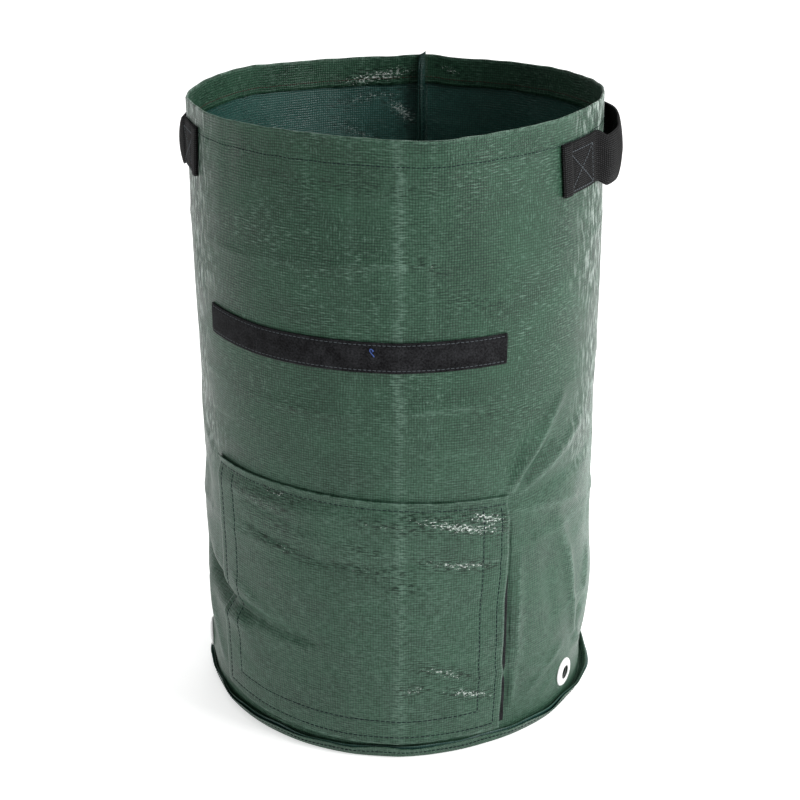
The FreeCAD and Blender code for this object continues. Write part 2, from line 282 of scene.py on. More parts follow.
def wall_offset(az, z):
    """How far the wall stands out from its round shape, in metres."""
    az, z = grid(az, z)
    mm = z / MM
    out = 0.9 * np.cos(np.radians(2 * (az - 40))) * smooth(0, 200, mm)
    out += 0.7 * np.cos(np.radians(3 * az + mm * 0.35))
    out += 0.4 * np.cos(np.radians(5 * az - mm * 0.6))
    out += rim_shape(az)[0] * smooth(380, 506, mm) ** 1.3
    for centre, rise, width in PACKING_CREASES:
        out += rise * np.exp(-np.abs(arc_mm(az, centre)) / width)
    for row in FOLDS:
        out += fold(az, z, *row)
    for level, az_a, az_b, rise in LEVEL_CREASES:
        away, strength = level_crease(az, mm, level, az_a, az_b)
        patchy = 0.65 + 0.35 * sine(az * 9 + 2 * level)
        profile = 0.6 * np.exp(-np.abs(away) / 3) + 0.3 * bell(away, 0, 9)
        out += rise * strength * patchy * profile
    out = with_crumples(out, az, z, CRUMPLES)
    foot = np.array(FOOT_SHAPE, float)
    out += np.interp(turn(az), foot[:, 0], foot[:, 1]) * np.exp(-(np.abs(mm) / 32) ** 1.5)
    for rise, centre, width, middle, height in SWELLS:
        out += rise * bump(az, centre, width) * bell(mm, middle, height)
    eyelets = sum(np.exp(-(np.hypot(arc_mm(az, a) * MM, z - h) / FLAT_ROUND_EYELET) ** 4)
                  for a, h in EYELETS.values())
    return out * MM * (1 - 0.8 * np.clip(eyelets, 0, 1))


def on_wall(az, z, lift=0.0):
    """Points on the wall at azimuths and heights, so far out from its face."""
    az, z, lift = grid(az, z, lift)
    rise = rim_shape(az)[1] * MM * smooth(400 * MM, 506 * MM, z)
    return polar(az, WALL_R + wall_offset(az, z) + lift, z + rise)


def outward(az):
    """Unit vectors out of the bag at azimuths."""
    az = np.asarray(az, float)
    return polar(az, 1.0, np.zeros_like(az))


# ---- meshes

def link(name, data):
    """A new object in the scene."""
    obj = bpy.data.objects.new(name, data)
    bpy.context.scene.collection.objects.link(obj)
    return obj


def mesh_object(name, points, faces, uv=None, material=None):
    """A smooth mesh from points, faces and one UV for each point."""
    mesh = bpy.data.meshes.new(name)
    mesh.vertices.add(len(points))
    mesh.vertices.foreach_set("co", np.asarray(points, np.float32).ravel())
    sides = faces.shape[1]
    mesh.loops.add(faces.size)
    mesh.loops.foreach_set("vertex_index", faces.astype(np.int32).ravel())
    mesh.polygons.add(len(faces))
    mesh.polygons.foreach_set("loop_start", np.arange(0, faces.size, sides, dtype=np.int32))
    mesh.polygons.foreach_set("use_smooth", np.ones(len(faces), bool))
    if uv is not None:
        layer = mesh.uv_layers.new(name="cloth")
        layer.data.foreach_set("uv", np.asarray(uv, np.float32)[faces.ravel()].ravel())
    mesh.update(calc_edges=True)
    mesh.validate()
    if material:
        mesh.materials.append(material)
    return link(name, mesh)


def grid_faces(rows, columns, wrap=False):
    """Quads of a grid, whose last column may join its first."""
    index = np.arange(rows * columns).reshape(rows, columns)
    right = np.roll(index, -1, 1) if wrap else index[:, 1:]
    left = index if wrap else index[:, :-1]
    return np.stack([left[:-1], right[:-1], right[1:], left[1:]], -1).reshape(-1, 4)


def sheet_object(name, points, uv, materials, thickness, wrap=False, keep=None, marks=None):
    """Cloth from a grid of points, given thickness behind its face.

    keep says which of the grid's faces stay, and marks holds a number at each point by name.
    """
    rows, columns = points.shape[:2]
    faces = grid_faces(rows, columns, wrap)
    if keep is not None:
        faces = faces[keep.ravel()]
    used, index = np.unique(faces, return_inverse=True)
    flat = uv.reshape(-1, 2)[used]
    obj = mesh_object(name, points.reshape(-1, 3)[used], index.reshape(-1, 4), flat, materials[0])
    for extra in materials[1:]:
        obj.data.materials.append(extra)
    for mark, values in (marks or {}).items():
        attribute = obj.data.attributes.new(mark, "FLOAT", "POINT")
        attribute.data.foreach_set("value", values.reshape(-1)[used].astype(np.float32))
    solid = obj.modifiers.new("thickness", "SOLIDIFY")
    solid.thickness = thickness
    solid.offset = -1
    solid.use_even_offset = False
    solid.material_offset = len(materials) - 1
    return obj


def read(at, run, values):
    """Values at distances along a line whose points lie at the distances run."""
    return np.stack([np.interp(at, run, column) for column in values.T], -1)


def stitches(name, lines, material, pitch=3.6 * MM, length=2.9 * MM, radius=0.34 * MM):
    """Separate stitches along lines, each of points and their unit normals."""
    rings = np.array([-1, -0.72, 0, 0.72, 1])
    girth = np.array([0.35, 0.85, 1, 0.85, 0.35])
    sides = 6
    angle = np.arange(sides) / sides * 2 * math.pi
    along = np.repeat(rings, sides) * length / 2
    across = np.outer(girth, np.cos(angle)).ravel() * radius * 1.15
    up = np.outer(girth, np.sin(angle)).ravel() * radius
    sink = np.repeat(np.abs(rings) ** 3, sides) * radius * 0.9
    cap = np.array([(0, 1, 2, 5), (2, 3, 4, 5)])
    template = np.concatenate([grid_faces(len(rings), sides, True), cap + (len(rings) - 1) * sides,
                               cap[:, ::-1]])
    points, faces = [], []
    for line, normals in lines:
        steps = np.linalg.norm(np.diff(line, axis=0), axis=1)
        run = np.concatenate([[0], np.cumsum(steps)])
        count = max(1, int(run[-1] / pitch))
        at = (np.arange(count) + 0.5) * run[-1] / count
        centre, normal = read(at, run, line), read(at, run, normals)
        tangent = read(at + 0.3 * MM, run, line) - read(at - 0.3 * MM, run, line)
        tangent /= np.linalg.norm(tangent, axis=1)[:, None]
        side = np.cross(normal, tangent)
        side /= np.linalg.norm(side, axis=1)[:, None]
        tangent = tangent + side * rng.normal(0, 0.05, (count, 1))
        shape = (centre[:, None] + tangent[:, None] * along[None, :, None]
                 + side[:, None] * across[None, :, None]
                 + normal[:, None] * (up - sink)[None, :, None])
        first = sum(len(p) for p in points)
        points.append(shape.reshape(-1, 3))
        offsets = first + np.arange(count) * len(along)
        faces.append((template[None] + offsets[:, None, None]).reshape(-1, 4))
    return mesh_object(name, np.concatenate(points), np.concatenate(faces), None, material)


def wall_line(az, z, lift):
    """A line on the wall for stitches."""
    az, z, lift = grid(az, z, lift)
    return on_wall(az, z, lift), outward(az)


# ---- materials

def add(tree, kind, inputs=None, **settings):
    """A shader node with its settings made and its inputs filled or linked."""
    node = tree.nodes.new("ShaderNode" + kind)
    for key, value in settings.items():
        setattr(node, key, value)
    for socket, value in (inputs or {}).items():
        if isinstance(value, bpy.types.NodeSocket):
            tree.links.new(value, node.inputs[socket])
        else:
            node.inputs[socket].default_value = value
    return node


def calc(tree, operation, a, b=0.0, c=0.0):
    """Output of a math node."""
    return add(tree, "Math", {0: a, 1: b, 2: c}, operation=operation).outputs[0]


def mark(tree, name):
    """One of the sheet's marks."""
    return add(tree, "Attribute", attribute_name=name).outputs["Fac"]


def cloth_place(tree):
    """Places on the flat cloth."""
    return add(tree, "UVMap", uv_map="cloth").outputs[0]


# The helpers below start from an output, whose tree they add their node to

def times(a, b, plus=None):
    """Product of an output and another or a number, which may have something added."""
    if plus is None:
        return calc(a.id_data, "MULTIPLY", a, b)
    return calc(a.id_data, "MULTIPLY_ADD", a, b, plus)


def ramp(value, *ends):
    """One range of numbers (low, high) carried over to another (low, high)."""
    return add(value.id_data, "MapRange", dict(enumerate((value, *ends)))).outputs[0]


def clamp(value):
    """A number kept from 0 to 1."""
    return add(value.id_data, "Clamp", {0: value}).outputs[0]


def blend_colour(factor, a, b):
    """Two colours mixed."""
    a, b = ((*each, 1) if isinstance(each, tuple) else each for each in (a, b))
    return add(factor.id_data, "Mix", {0: factor, 6: a, 7: b}, data_type="RGBA").outputs[2]


def spots(where, scale, detail=2.0, stretch=(1, 1, 1), rough=0.5):
    """A noise over stretched coordinates."""
    tree = where.id_data
    place = add(tree, "Mapping", {"Vector": where, "Scale": stretch}).outputs[0]
    inputs = {"Vector": place, "Scale": scale, "Detail": detail, "Roughness": rough}
    return add(tree, "TexNoise", inputs).outputs[0]


def new_material(name, specular):
    """A material with its shader's own specular level set. Returns it and its tree."""
    material = bpy.data.materials.new(name)
    material.use_nodes = True
    shader = material.node_tree.nodes["Principled BSDF"]
    shader.inputs["Specular IOR Level"].default_value = specular
    return material, material.node_tree


def finish_material(tree, colour, rough, height, strength, distance):
    """Gives a tree's shader its colour, its roughness and bumps from a height."""
    shader = tree.nodes["Principled BSDF"]
    bumps = add(tree, "Bump", {"Height": height, "Strength": strength, "Distance": distance})
    tree.links.new(colour, shader.inputs["Base Color"])
    tree.links.new(rough, shader.inputs["Roughness"])
    tree.links.new(bumps.outputs[0], shader.inputs["Normal"])


def weave_height(tree, cloth, pitch):
    """Height of flat tapes woven over and under one another, over coordinates in metres."""
    drift = spots(cloth, 60, 1.0)
    split = add(tree, "SeparateXYZ", {0: cloth})
    waves = []
    for axis, share in ((0, 1.1), (1, -0.9)):
        place = times(drift, share, times(split.outputs[axis], 1 / pitch))
        waves.append(calc(tree, "SINE", times(place, math.pi)))
    warp, weft = (calc(tree, "POWER", calc(tree, "ABSOLUTE", wave), 0.5) for wave in waves)
    return times(times(*waves), 0.12, times(warp, weft))


def woven_material(name, specular, dark, light, wear_and_painted_light, painted_sheen, glint):
    """Coated cloth of woven plastic tapes, worn pale along its creases, with painted sheen, glints
    and shade.
    """
    material, tree = new_material(name, specular)
    cloth = cloth_place(tree)
    crinkle_sheen_and_shade, crease_wear_and_painted_light, place = (mark(tree, each) for each in ("crinkle_sheen_and_shade", "crease_wear_and_painted_light", "glint"))
    mottle = spots(cloth, 1, 4.0, (20, 34, 1))
    patches = ramp(spots(cloth, 1, 3.0, (34, 26, 1)), 0.36, 0.56, 0.2, 1.0)
    level = spots(cloth, 1, 2.0, (150, 820, 1), 0.6)
    upright = spots(cloth, 1, 2.0, (760, 150, 1), 0.6)
    up = add(tree, "SeparateXYZ", {0: cloth}).outputs[1]
    smoother = ramp(up, 0.19, 0.34, 0.35, 1.0)

    # The base tone: level threads where the cloth is patchy and flat, upright ones elsewhere
    flat_part = calc(tree, "SUBTRACT", 1.0, crinkle_sheen_and_shade)
    share = times(times(patches, flat_part), smoother)
    threads = times(share, calc(tree, "SUBTRACT", level, upright), upright)
    weave = weave_height(tree, cloth, 2.05 * MM)
    tone = times(threads, 1.3, times(weave, 0.95, -1.12))
    tone = ramp(times(mottle, 0.9, tone), 0.0, 1.0, 0.0, 1.0)
    colour = blend_colour(tone, dark, light)

    # Worn creases with the painted light of the lower wall and right side, and dashes of wear
    # between them
    # This pale mark is real wear, and painted light on the lower wall and low on the right side
    rubbed_and_painted_light = clamp(times(crease_wear_and_painted_light, ramp(level, 0.42, 0.62, 0.15, 1.5)))
    colour = blend_colour(rubbed_and_painted_light, colour, wear_and_painted_light)
    dashes = ramp(threads, 0.54, 0.72, 0.0, 1.0)
    fields = ramp(spots(cloth, 9, 3.0), 0.36, 0.62, 0.2, 1.0)
    dashes = times(dashes, times(fields, smoother))
    colour = blend_colour(dashes, colour, wear_and_painted_light)

    # Painted sheen on the ridges and painted shade in the hollows of the crinkled side folds
    waves = spots(cloth, 1, 4.0, (270, 62, 1), 0.7)
    for low, high, tint in ((0.50, 0.62, painted_sheen), (0.49, 0.39, dark)):
        strokes = times(ramp(waves, low, high, 0.0, 1.0), crinkle_sheen_and_shade)
        colour = blend_colour(strokes, colour, tint)

    # Painted shade of small wrinkles and painted glints at the glint patches
    painted_wrinkle_shade = times(ramp(level, 0.50, 0.38, 0.0, 1.3), times(place, 2.0))
    colour = blend_colour(clamp(painted_wrinkle_shade), colour, dark)
    painted_glint_specks = times(place, 0.31, spots(cloth, 1, 4.0, (330, 620, 1), 0.75))
    painted_glint_specks = ramp(painted_glint_specks, 0.78, 0.88, 0.0, 1.0)
    colour = blend_colour(painted_glint_specks, colour, glint)

    rough = times(painted_glint_specks, -0.12, ramp(mottle, 0.3, 0.7, 0.34, 0.48))
    height = times(threads, 1.6, times(weave, 0.9))
    height = times(times(waves, crinkle_sheen_and_shade), 9.0, height)
    finish_material(tree, colour, rough, height, 0.9, 0.30 * MM)
    return material


def webbing_material(name, specular, dark, light, pitch):
    """Ribbed black webbing, its ribs across it."""
    material, tree = new_material(name, specular)
    cloth = cloth_place(tree)
    split = add(tree, "SeparateXYZ", {0: cloth})
    rib, yarn = (calc(tree, "ABSOLUTE", calc(tree, "SINE", times(along, math.pi / spacing)))
                 for along, spacing in zip(split.outputs, (pitch, 1.5 * MM)))
    lint = spots(cloth, 1, 3.0, (900, 500, 1))
    knots = times(calc(tree, "POWER", rib, 2.0), calc(tree, "POWER", yarn, 2.0))
    height = times(lint, 0.4, times(yarn, 0.3, knots))
    tone = clamp(times(knots, times(lint, 2.2, -0.45)))
    rough = ramp(lint, 0.2, 0.8, 0.5, 0.75)
    finish_material(tree, blend_colour(tone, dark, light), rough, height, 1.0, 0.6 * MM)
    return material


def tape_material(name, specular, dark, light, scale, hooks):
    """Touch-fastener tape: a pile of small loops, or rows of stiff hooks."""
    material, tree = new_material(name, specular)
    cloth = cloth_place(tree)
    if hooks:
        cells = add(tree, "TexVoronoi", {"Vector": cloth, "Scale": scale, "Randomness": 0.15})
        pile = calc(tree, "SUBTRACT", 1.0, times(cells.outputs[0], 1.8))
    else:
        pile = spots(cloth, scale, 4.0, (1, 1, 1), 0.7)
    patches = spots(cloth, 90, 2.0)
    tone = times(pile, calc(tree, "ADD", patches, 0.4))
    tone = ramp(tone, 0.3, 0.8, 0.0, 1.0)
    rough = ramp(patches, 0.2, 0.8, 0.62, 0.85)
    finish_material(tree, blend_colour(tone, dark, light), rough, pile, 0.8, 0.4 * MM)
    return material


def solid_material(name, specular, dark, light, scale=2500, rough=(0.5, 0.7), strength=0.5):
    """Thread or moulded plastic: two near tones, with a grain that also sets the gloss."""
    material, tree = new_material(name, specular)
    grain = spots(add(tree, "TexCoord").outputs["Object"], scale, 3.0)
    rough = ramp(grain, 0.3, 0.7, *rough)
    finish_material(tree, blend_colour(grain, dark, light), rough, grain, strength, 0.1 * MM)
    return material


# Colours: dark and light tones, pale wear that also paints light, painted sheen, painted glints
green = woven_material("green_woven_sheet", 0.26, (0.003, 0.018, 0.009), (0.028, 0.086, 0.049),
                       (0.115, 0.195, 0.150), (0.38, 0.45, 0.41), (0.60, 0.66, 0.62))
teal = woven_material("teal_sheet_inside", 0.6, (0.004, 0.028, 0.022), (0.020, 0.092, 0.075),
                      (0.06, 0.13, 0.11), (0.10, 0.17, 0.15), (0.50, 0.58, 0.55))
# A darker copy of the inside cloth: painted shade on the back seam
seam_teal_painted_shade = woven_material("teal_sheet_seam_painted_shade", 0.3, (0.002, 0.012, 0.009), (0.008, 0.042, 0.033),
                           (0.03, 0.07, 0.06), (0.10, 0.17, 0.15), (0.50, 0.58, 0.55))
webbing = webbing_material("black_webbing", 0.08, (0.001, 0.001, 0.001), (0.058, 0.059, 0.061),
                           2.1 * MM)
loop_pile = tape_material("loop_tape_pile", 0.08, (0.001, 0.001, 0.0015), (0.034, 0.035, 0.038),
                          620, False)
hook_pile = tape_material("hook_tape_hooks", 0.4, (0.006, 0.006, 0.007), (0.035, 0.036, 0.038),
                          700, True)
dark_thread, brown_thread, grey_thread, blue_thread = (solid_material(*row) for row in (
    ("dark_blue_thread", 0.12, (0.002, 0.005, 0.009), (0.006, 0.013, 0.019)),
    ("brown_thread", 0.3, (0.020, 0.010, 0.006), (0.045, 0.025, 0.016)),
    ("grey_thread", 0.3, (0.035, 0.045, 0.052), (0.085, 0.10, 0.11)),
    ("blue_thread_tail", 0.3, (0.02, 0.05, 0.20), (0.05, 0.11, 0.36))))
white_plastic = solid_material("white_plastic", 0.5, (0.74, 0.745, 0.74), (0.82, 0.825, 0.82),
                               420, (0.28, 0.42), 0.12)


# ---- the wall, its rim and its foot

COLUMN = 0.75                 # degrees between the wall's columns, closer beside the flap
WALL_AZ = np.union1d(np.arange(-180, 180, COLUMN), np.arange(38.25, 45, 0.25))
FOOT_Z = 2 * MM
WALL_FIN = 10.5 * MM          # the wall's layer of the base seam
BASE_FIN = 10.1 * MM          # the base's layer, a little shorter


def tilt(az, z):
    """How far the flap's parts sit above their level places, at the left more than at the right."""
    az, z = grid(turn(az), z)
    left, right = FLAP_AZS
    top = np.interp(az, (left, -20, 8.8, right), (5.0, 3.6, 0.4, -5))
    bottom = np.interp(az, (left, -30, 12, right), (9.5, 4, -1, 0.5))
    up = smooth(FLAP_LOW, FLAP_HIGH, z)
    beside = np.maximum(np.maximum(left - az, az - right), 0)
    near = (1 - smooth(2, 40, beside)) * (1 - smooth(FLAP_HIGH, 330 * MM, z))
    return (bottom * (1 - up) + top * up) * near * smooth(0, FLAP_LOW, z) * MM


def fin_slope(az):
    """Slope of the turned-out base seam at azimuths, in radians up from the ground."""
    angle = np.radians(np.asarray(az, float))
    ripple = 5 * np.sin(3 * angle + 0.4) + 4 * np.sin(11 * angle + 1.0) + 3 * np.sin(23 * angle)
    return np.radians(74 + ripple - 27 * bump(az, 94, 22))


def on_fin(az, along, lift):
    """Points on the turned-out base seam, so far from its root and above its middle face."""
    az, along, lift = grid(az, along, lift)
    slope = fin_slope(az)
    root = WALL_R + wall_offset(az, np.full(az.shape, FOOT_Z))
    radius = root + along * np.cos(slope) - lift * np.sin(slope)
    return polar(az, radius, 0.6 * MM + along * np.sin(slope) + lift * np.cos(slope))


def wear_and_painted_light_marks(az, z):
    """How worn the cloth is along its folds, with painted light added on the lower wall and its
    lower right side, from 0 to 1.
    """
    az, z = grid(az, z)
    mm = z / MM
    # Painted light from the floor: the lower wall is made paler
    wear_and_painted_light = 0.16 * (1 - smooth(190, 340, mm)) * np.ones(az.shape)
    # Painted sheen: a paler band low on the right side
    wear_and_painted_light += 0.5 * bump(az, 90, 13) * (1 - smooth(220, 280, mm)) * smooth(40, 80, mm)
    for centre, rise, width in PACKING_CREASES:
        away = np.abs(arc_mm(az, centre))
        broken = 0.7 + 0.3 * np.sin(mm / 13 + centre) * np.sin(mm / 37)
        fresh = 0.45 + 0.55 * smooth(200, 380, mm)
        wear_and_painted_light += min(0.6, 0.05 + 0.42 * rise) * bell(away, 0, 3.4) * broken * fresh
        wear_and_painted_light += 0.07 * rise * np.exp(-away / 9)
    for level, az_a, az_b, rise in LEVEL_CREASES:
        away, strength = level_crease(az, mm, level, az_a, az_b)
        broken = np.clip(sine(az * 7 + level) * sine(az * 3 + 40), 0, 1)
        wear_and_painted_light += 0.2 * bell(away, 0, 1.8) * strength * broken
    wear_and_painted_light = with_crumples(wear_and_painted_light, az, z, CRUMPLES, 0.35)
    for *ends, rise, width in FOLDS:
        if rise > 1.5:
            wear_and_painted_light += fold(az, z, *ends, 0.13 * rise, 0.3 * width)
    return np.clip(wear_and_painted_light + 0.45 * bell(mm, RIM_Z / MM, 1.6), 0, 1)


# Painted glints and wrinkle shade: from (azimuth, mm up) to (azimuth, mm up), strength, half width
# (mm)
GLINTS = [
    (12, 217, 40, 201, 0.95, 7), (27, 218, 39, 210, 0.95, 7), (15, 180, 36, 172, 0.9, 5),
    (-30, 222, -18, 219, 0.7, 5), (9, 66, 17, 68, 0.8, 5), (14, 88, 30, 70, 0.8, 6),
    (22, 62, 37, 50, 0.95, 5), (-2, 212, 18, 206, 0.6, 5), (-38, 214, -20, 206, 0.6, 6),
    (-36, 196, -16, 190, 0.4, 8), (-34, 182, -12, 171, 0.6, 6), (-10, 172, 12, 170, 0.5, 6),
    (6, 160, 16, 158, 0.45, 6), (12, 420, 22, 410, 0.6, 5), (-30, 476, 20, 470, 0.35, 5),
    (-6, 190, 6, 186, 0.5, 5), (20, 395, 38, 380, 0.45, 7), (30, 300, 50, 292, 0.4, 6),
    (-178, 445, -168, 472, 1.0, 9), (-178, 520, -152, 531, 0.95, 8), (-150, 466, -176, 478, 0.8, 6),
    (168, 522, 176, 516, 0.8, 5), (-168, 430, -150, 452, 0.75, 6), (-40, 300, -10, 296, 0.35, 6),
    (150, 180, 190, 172, 0.5, 7), (-110, 300, -80, 296, 0.5, 7)]


def glint_marks(az, z):
    """Where glints and the shade of small wrinkles are painted, from 0 to 1."""
    az, z = grid(az, z)
    return np.max([fold(az, z, *row) for row in GLINTS], axis=0)


def crinkle_sheen_and_shade_marks(az, z):
    """Where the cloth is crinkled upright along the bag's two side folds, with painted sheen and
    shade, from 0 to 1.
    """
    az, z = grid(turn(az), z)
    mm = z / MM
    ragged = 3 * np.sin(mm / 23) + 2 * np.sin(mm / 11 + 1) + 2.4 * np.sin(mm / 57 + 2)
    left = smooth(-102, -84, az + ragged) * (1 - smooth(-68, -45, az + ragged))
    right = smooth(57, 86, az - ragged) * (1 - smooth(98, 116, az + ragged))
    upper = 0.05 + 0.95 * smooth(170, 290, mm)
    hem = 1 - 0.85 * smooth(RIM_Z, RIM_Z + 1 * MM, z)
    return np.maximum(left, right) * upper * hem


def hem_lift(az, z):
    """How far the hem inside the rim stands from the wall's outer face, in metres."""
    down = (RIM_Z - z) / HEM_DEPTH
    wave = 0.35 + 0.3 * sine(az * 9) + 0.25 * sine(az * 23 + 50)
    return -(2 * HEM_GAP + wave * MM * smooth(0.55, 1.1, down))


def make_wall():
    """The wall in one piece, from its turned-out foot over the rim and down the hem."""
    rows, flat = [], []
    for along in np.linspace(WALL_FIN, 1.2 * MM, 5):
        open_out = 0.35 * MM + 0.5 * MM * (along / WALL_FIN) ** 2
        rows.append(on_fin(WALL_AZ, along + 0.6 * MM * sine(WALL_AZ * 7), open_out))
        flat.append(-along)
    levels = np.concatenate([np.linspace(FOOT_Z, WINDOW_Z[0], 19)[:-1],
                             np.linspace(*WINDOW_Z, 76)[:-1],
                             np.linspace(WINDOW_Z[1], RIM_Z - HEM_GAP, 128)])
    for z in levels:
        rows.append(on_wall(WALL_AZ, z + tilt(WALL_AZ, z), 0))
        flat.append(z)
    for angle in np.linspace(0, math.pi, 6)[1:-1]:
        lift = -HEM_GAP * (1 - math.cos(angle))
        rows.append(on_wall(WALL_AZ, RIM_Z - HEM_GAP * (1 - math.sin(angle)), lift))
        flat.append(flat[-1] + HEM_GAP * math.pi / 5)
    for z in np.linspace(RIM_Z - HEM_GAP, RIM_Z - HEM_DEPTH, 12):
        ragged = 0.5 * MM * sine(WALL_AZ * 5) * smooth(0.9, 1, (RIM_Z - z) / HEM_DEPTH)
        rows.append(on_wall(WALL_AZ, z + ragged, hem_lift(WALL_AZ, z)))
        flat.append(RIM_Z + (RIM_Z - z))
    az, flat = grid(WALL_AZ[None], np.array(flat)[:, None])
    uv = np.stack([np.radians(az) * WALL_R, flat], -1)
    middle_az = az[:-1] + COLUMN / 2
    middle_z = (flat[:-1] + flat[1:]) / 2
    cut = (middle_az > WINDOW_AZ[0]) & (middle_az < WINDOW_AZ[1])
    cut &= (middle_z > WINDOW_Z[0]) & (middle_z < WINDOW_Z[1])
    for eyelet_az, eyelet_z in EYELETS.values():
        away = np.hypot(arc_mm(middle_az, eyelet_az) * MM, middle_z - eyelet_z)
        cut |= (away < EYELET_HOLE) & (middle_z > FOOT_Z)
    marks = {"crease_wear_and_painted_light": wear_and_painted_light_marks(az, flat), "glint": glint_marks(az, flat),
             "crinkle_sheen_and_shade": crinkle_sheen_and_shade_marks(az, flat)}
    wall = sheet_object("wall_cloth", np.stack(rows), uv, [green, teal], SHEET, True, ~cut, marks)
    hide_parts("wall_panel")
    return wall


def make_base():
    """The base and its layer of the turned-out seam."""
    az = np.arange(-180, 180, 2 * COLUMN)
    root = WALL_R + wall_offset(az, np.full(az.shape, FOOT_Z)) - 1.5 * MM
    rows, flat = [], []
    for share in (0.004, 0.06, 0.13, 0.2, 0.28, 0.36, 0.44, 0.52, 0.6, 0.68, 0.76, 0.83, 0.89,
                  0.94, 0.98, 1):
        swell = 1 + np.sin(3 * np.radians(az) + 6 * share) * np.sin(9 * share + 0.5)
        swell = 0.9 * MM * (1 - share ** 6) * swell
        rows.append(polar(az, root * share, 0.1 * MM + swell))
        flat.append(share * WALL_R)
    for along in np.linspace(0.6 * MM, BASE_FIN, 6):
        ragged = along * (1 + 0.08 * sine(az * 6 + 40) + 0.06 * sine(az * 17))
        apart = (0.8 + 1.1 * (along / BASE_FIN) ** 2 * (1 + 0.7 * sine(az * 8 + 20))) * MM
        rows.append(on_fin(az, ragged, -apart))
        flat.append(WALL_R + along)
    az, flat = grid(az[None], np.array(flat)[:, None])
    uv = polar(az, flat, flat)[..., :2] * (1, -1)
    marks = {"crease_wear_and_painted_light": 0.25 * smooth(0.9, 1, flat / flat.max()), "glint": 0 * flat}
    base = sheet_object("base_cloth", np.stack(rows), uv, [green, teal], SHEET, True, None, marks)
    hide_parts("base_panel")
    return base


def seam_lean(z, share):
    """The standing seam's lean, and half of what its layers open, in mm."""
    lean = (5.2 + 1.3 * np.sin(z / MM / 47) + 0.8 * np.sin(z / MM / 19 + 1)) * share ** 1.4
    return lean, 0.35 + share ** 2 * (0.8 + 0.5 * np.sin(z / MM / 31))


def make_back_seam():
    """The standing seam up the back, inside: two layers with raw edges."""
    z = np.linspace(3 * MM, RIM_Z + 2.5 * MM, 170)[:, None]
    into = np.linspace(0, SEAM_WIDTH, 6)
    into = np.concatenate([into, into[::-1]])[None]
    side = np.repeat([1, -1], 6)[None]
    share = into / SEAM_WIDTH
    lean, apart = seam_lean(z, share)
    width = 1 - 0.3 * share - 0.45 * smooth(RIM_Z - 14 * MM, RIM_Z, z)
    body = on_wall(SEAM_AZ, np.minimum(z, RIM_Z), -SHEET - 0.1 * MM - into * width)
    body[..., 2] += np.maximum(z - RIM_Z, 0) * (1 - share)
    points = body + np.array([-1.0, 0, 0]) * ((side * apart + lean) * MM)[..., None]
    uv = np.stack(grid(into * side, z), -1)
    keep = np.ones((len(z) - 1, 11), bool)
    keep[:, 5] = False
    marks = {"crease_wear_and_painted_light": 0.1 * (share + 0 * z), "glint": 0 * (share + z)}
    seam = sheet_object("back_seam_ridge", points, uv, [seam_teal_painted_shade, seam_teal_painted_shade], 0.4 * MM, False,
                        keep, marks)
    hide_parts("back_seam_allowance")
    return seam


# ---- the flap and its tapes

FLAP_SHEET = 0.6 * MM
FLAP_STANDOFF = 3.6 * MM      # the flap's outer face over the wall's
# Its creases: from (azimuth, mm up) to (azimuth, mm up), rise (mm), half width (mm)
FLAP_CREASES = [
    (-33, 106, -14, 101, -1.6, 4), (-20, 190, 6, 186, 0.5, 5), (-36, 150, -10, 168, 0.6, 8),
    (8, 160, 30, 176, 0.5, 6), (9, 215, 9.5, 20, 0.9, 3), (12, 96, 29, 66, -0.7, 6),
    (-28, 60, -5, 52, 0.6, 7), (0, 140, 22, 130, -0.6, 6), (-44, 60, -30, 44, 0.5, 5),
    (24, 215, 39, 204, 0.7, 4), (18, 205, 36, 196, -0.6, 4), (27, 120, 36, 100, 0.5, 5),
    (-36, 186, -12, 173, -2.4, 6), (-12, 173, 14, 177, -2.4, 7), (14, 178, 38, 172, -2.0, 6),
    (-34, 206, -14, 197, -1.0, 4), (6, 163, 15, 162, -1.2, 5)]
FLAP_CRUMPLES = make_crumples(90)
FLAP_CRUMPLES[:, 0] = rng.uniform(-44, 37, 90)
FLAP_CRUMPLES[:, 1] = rng.uniform(25, 220, 90)


def flap_lift(az, z):
    """How far the flap's outer face stands out from the wall's."""
    az, z = grid(az, z)
    mm = z / MM
    left, right = arc_mm(az, FLAP_AZS[0]), -arc_mm(az, FLAP_AZS[1])
    low = mm - FLAP_LOW / MM
    edge = np.minimum(np.minimum(left, right), low)
    drop = (FLAP_HIGH - z) / MM
    out = 0.9 + (FLAP_STANDOFF / MM - 0.9) * smooth(5.5, 20, drop)
    for inset in FLAP_SEAMS:
        out -= 0.32 * bell(edge, inset / MM, 1.2)
    out -= 0.3 * bell(drop, 7, 1.3)
    out += (1.3 + 0.5 * sine(az * 7 + 60)) * (1 - smooth(0, 5.5, drop))
    gap = 1.9 * bell(mm, 115, 34) + 1.3 * bell(mm, 50, 13)
    out += gap * np.exp(-np.maximum(right, 0) / 8)
    out += 0.7 * np.exp(-low / 5) * sine(az * 9 + 30)
    out -= 0.4 * bell(edge, 0, 0.8)
    inner = smooth(20, 34, edge) * smooth(6, 20, drop)
    out += inner * (0.5 * sine(az * 6 + mm * 1.3) + 0.3 * sine(az * 3 - mm * 2.1))
    for row in FLAP_CREASES:
        out += fold(az, z, *row, True) * smooth(0, 6, drop)
    return np.maximum(with_crumples(out, az, z, FLAP_CRUMPLES, reach=70), 0.7) * MM


def pulled(az, z):
    """Azimuth at which the flap's cloth lies: its left and right edges are pulled sideways."""
    mm = z / MM
    left = 2.2 + 1.2 * smooth(160, 225, mm) + 0.5 * (1 - smooth(20, 60, mm))
    right = 0.3 - 1.1 * (1 - smooth(130, 170, mm)) + 0.5 * bell(mm, 69, 6)
    return az - left * smooth(15, -FLAP_AZS[0], -az) + right * smooth(20, FLAP_AZS[1], az)


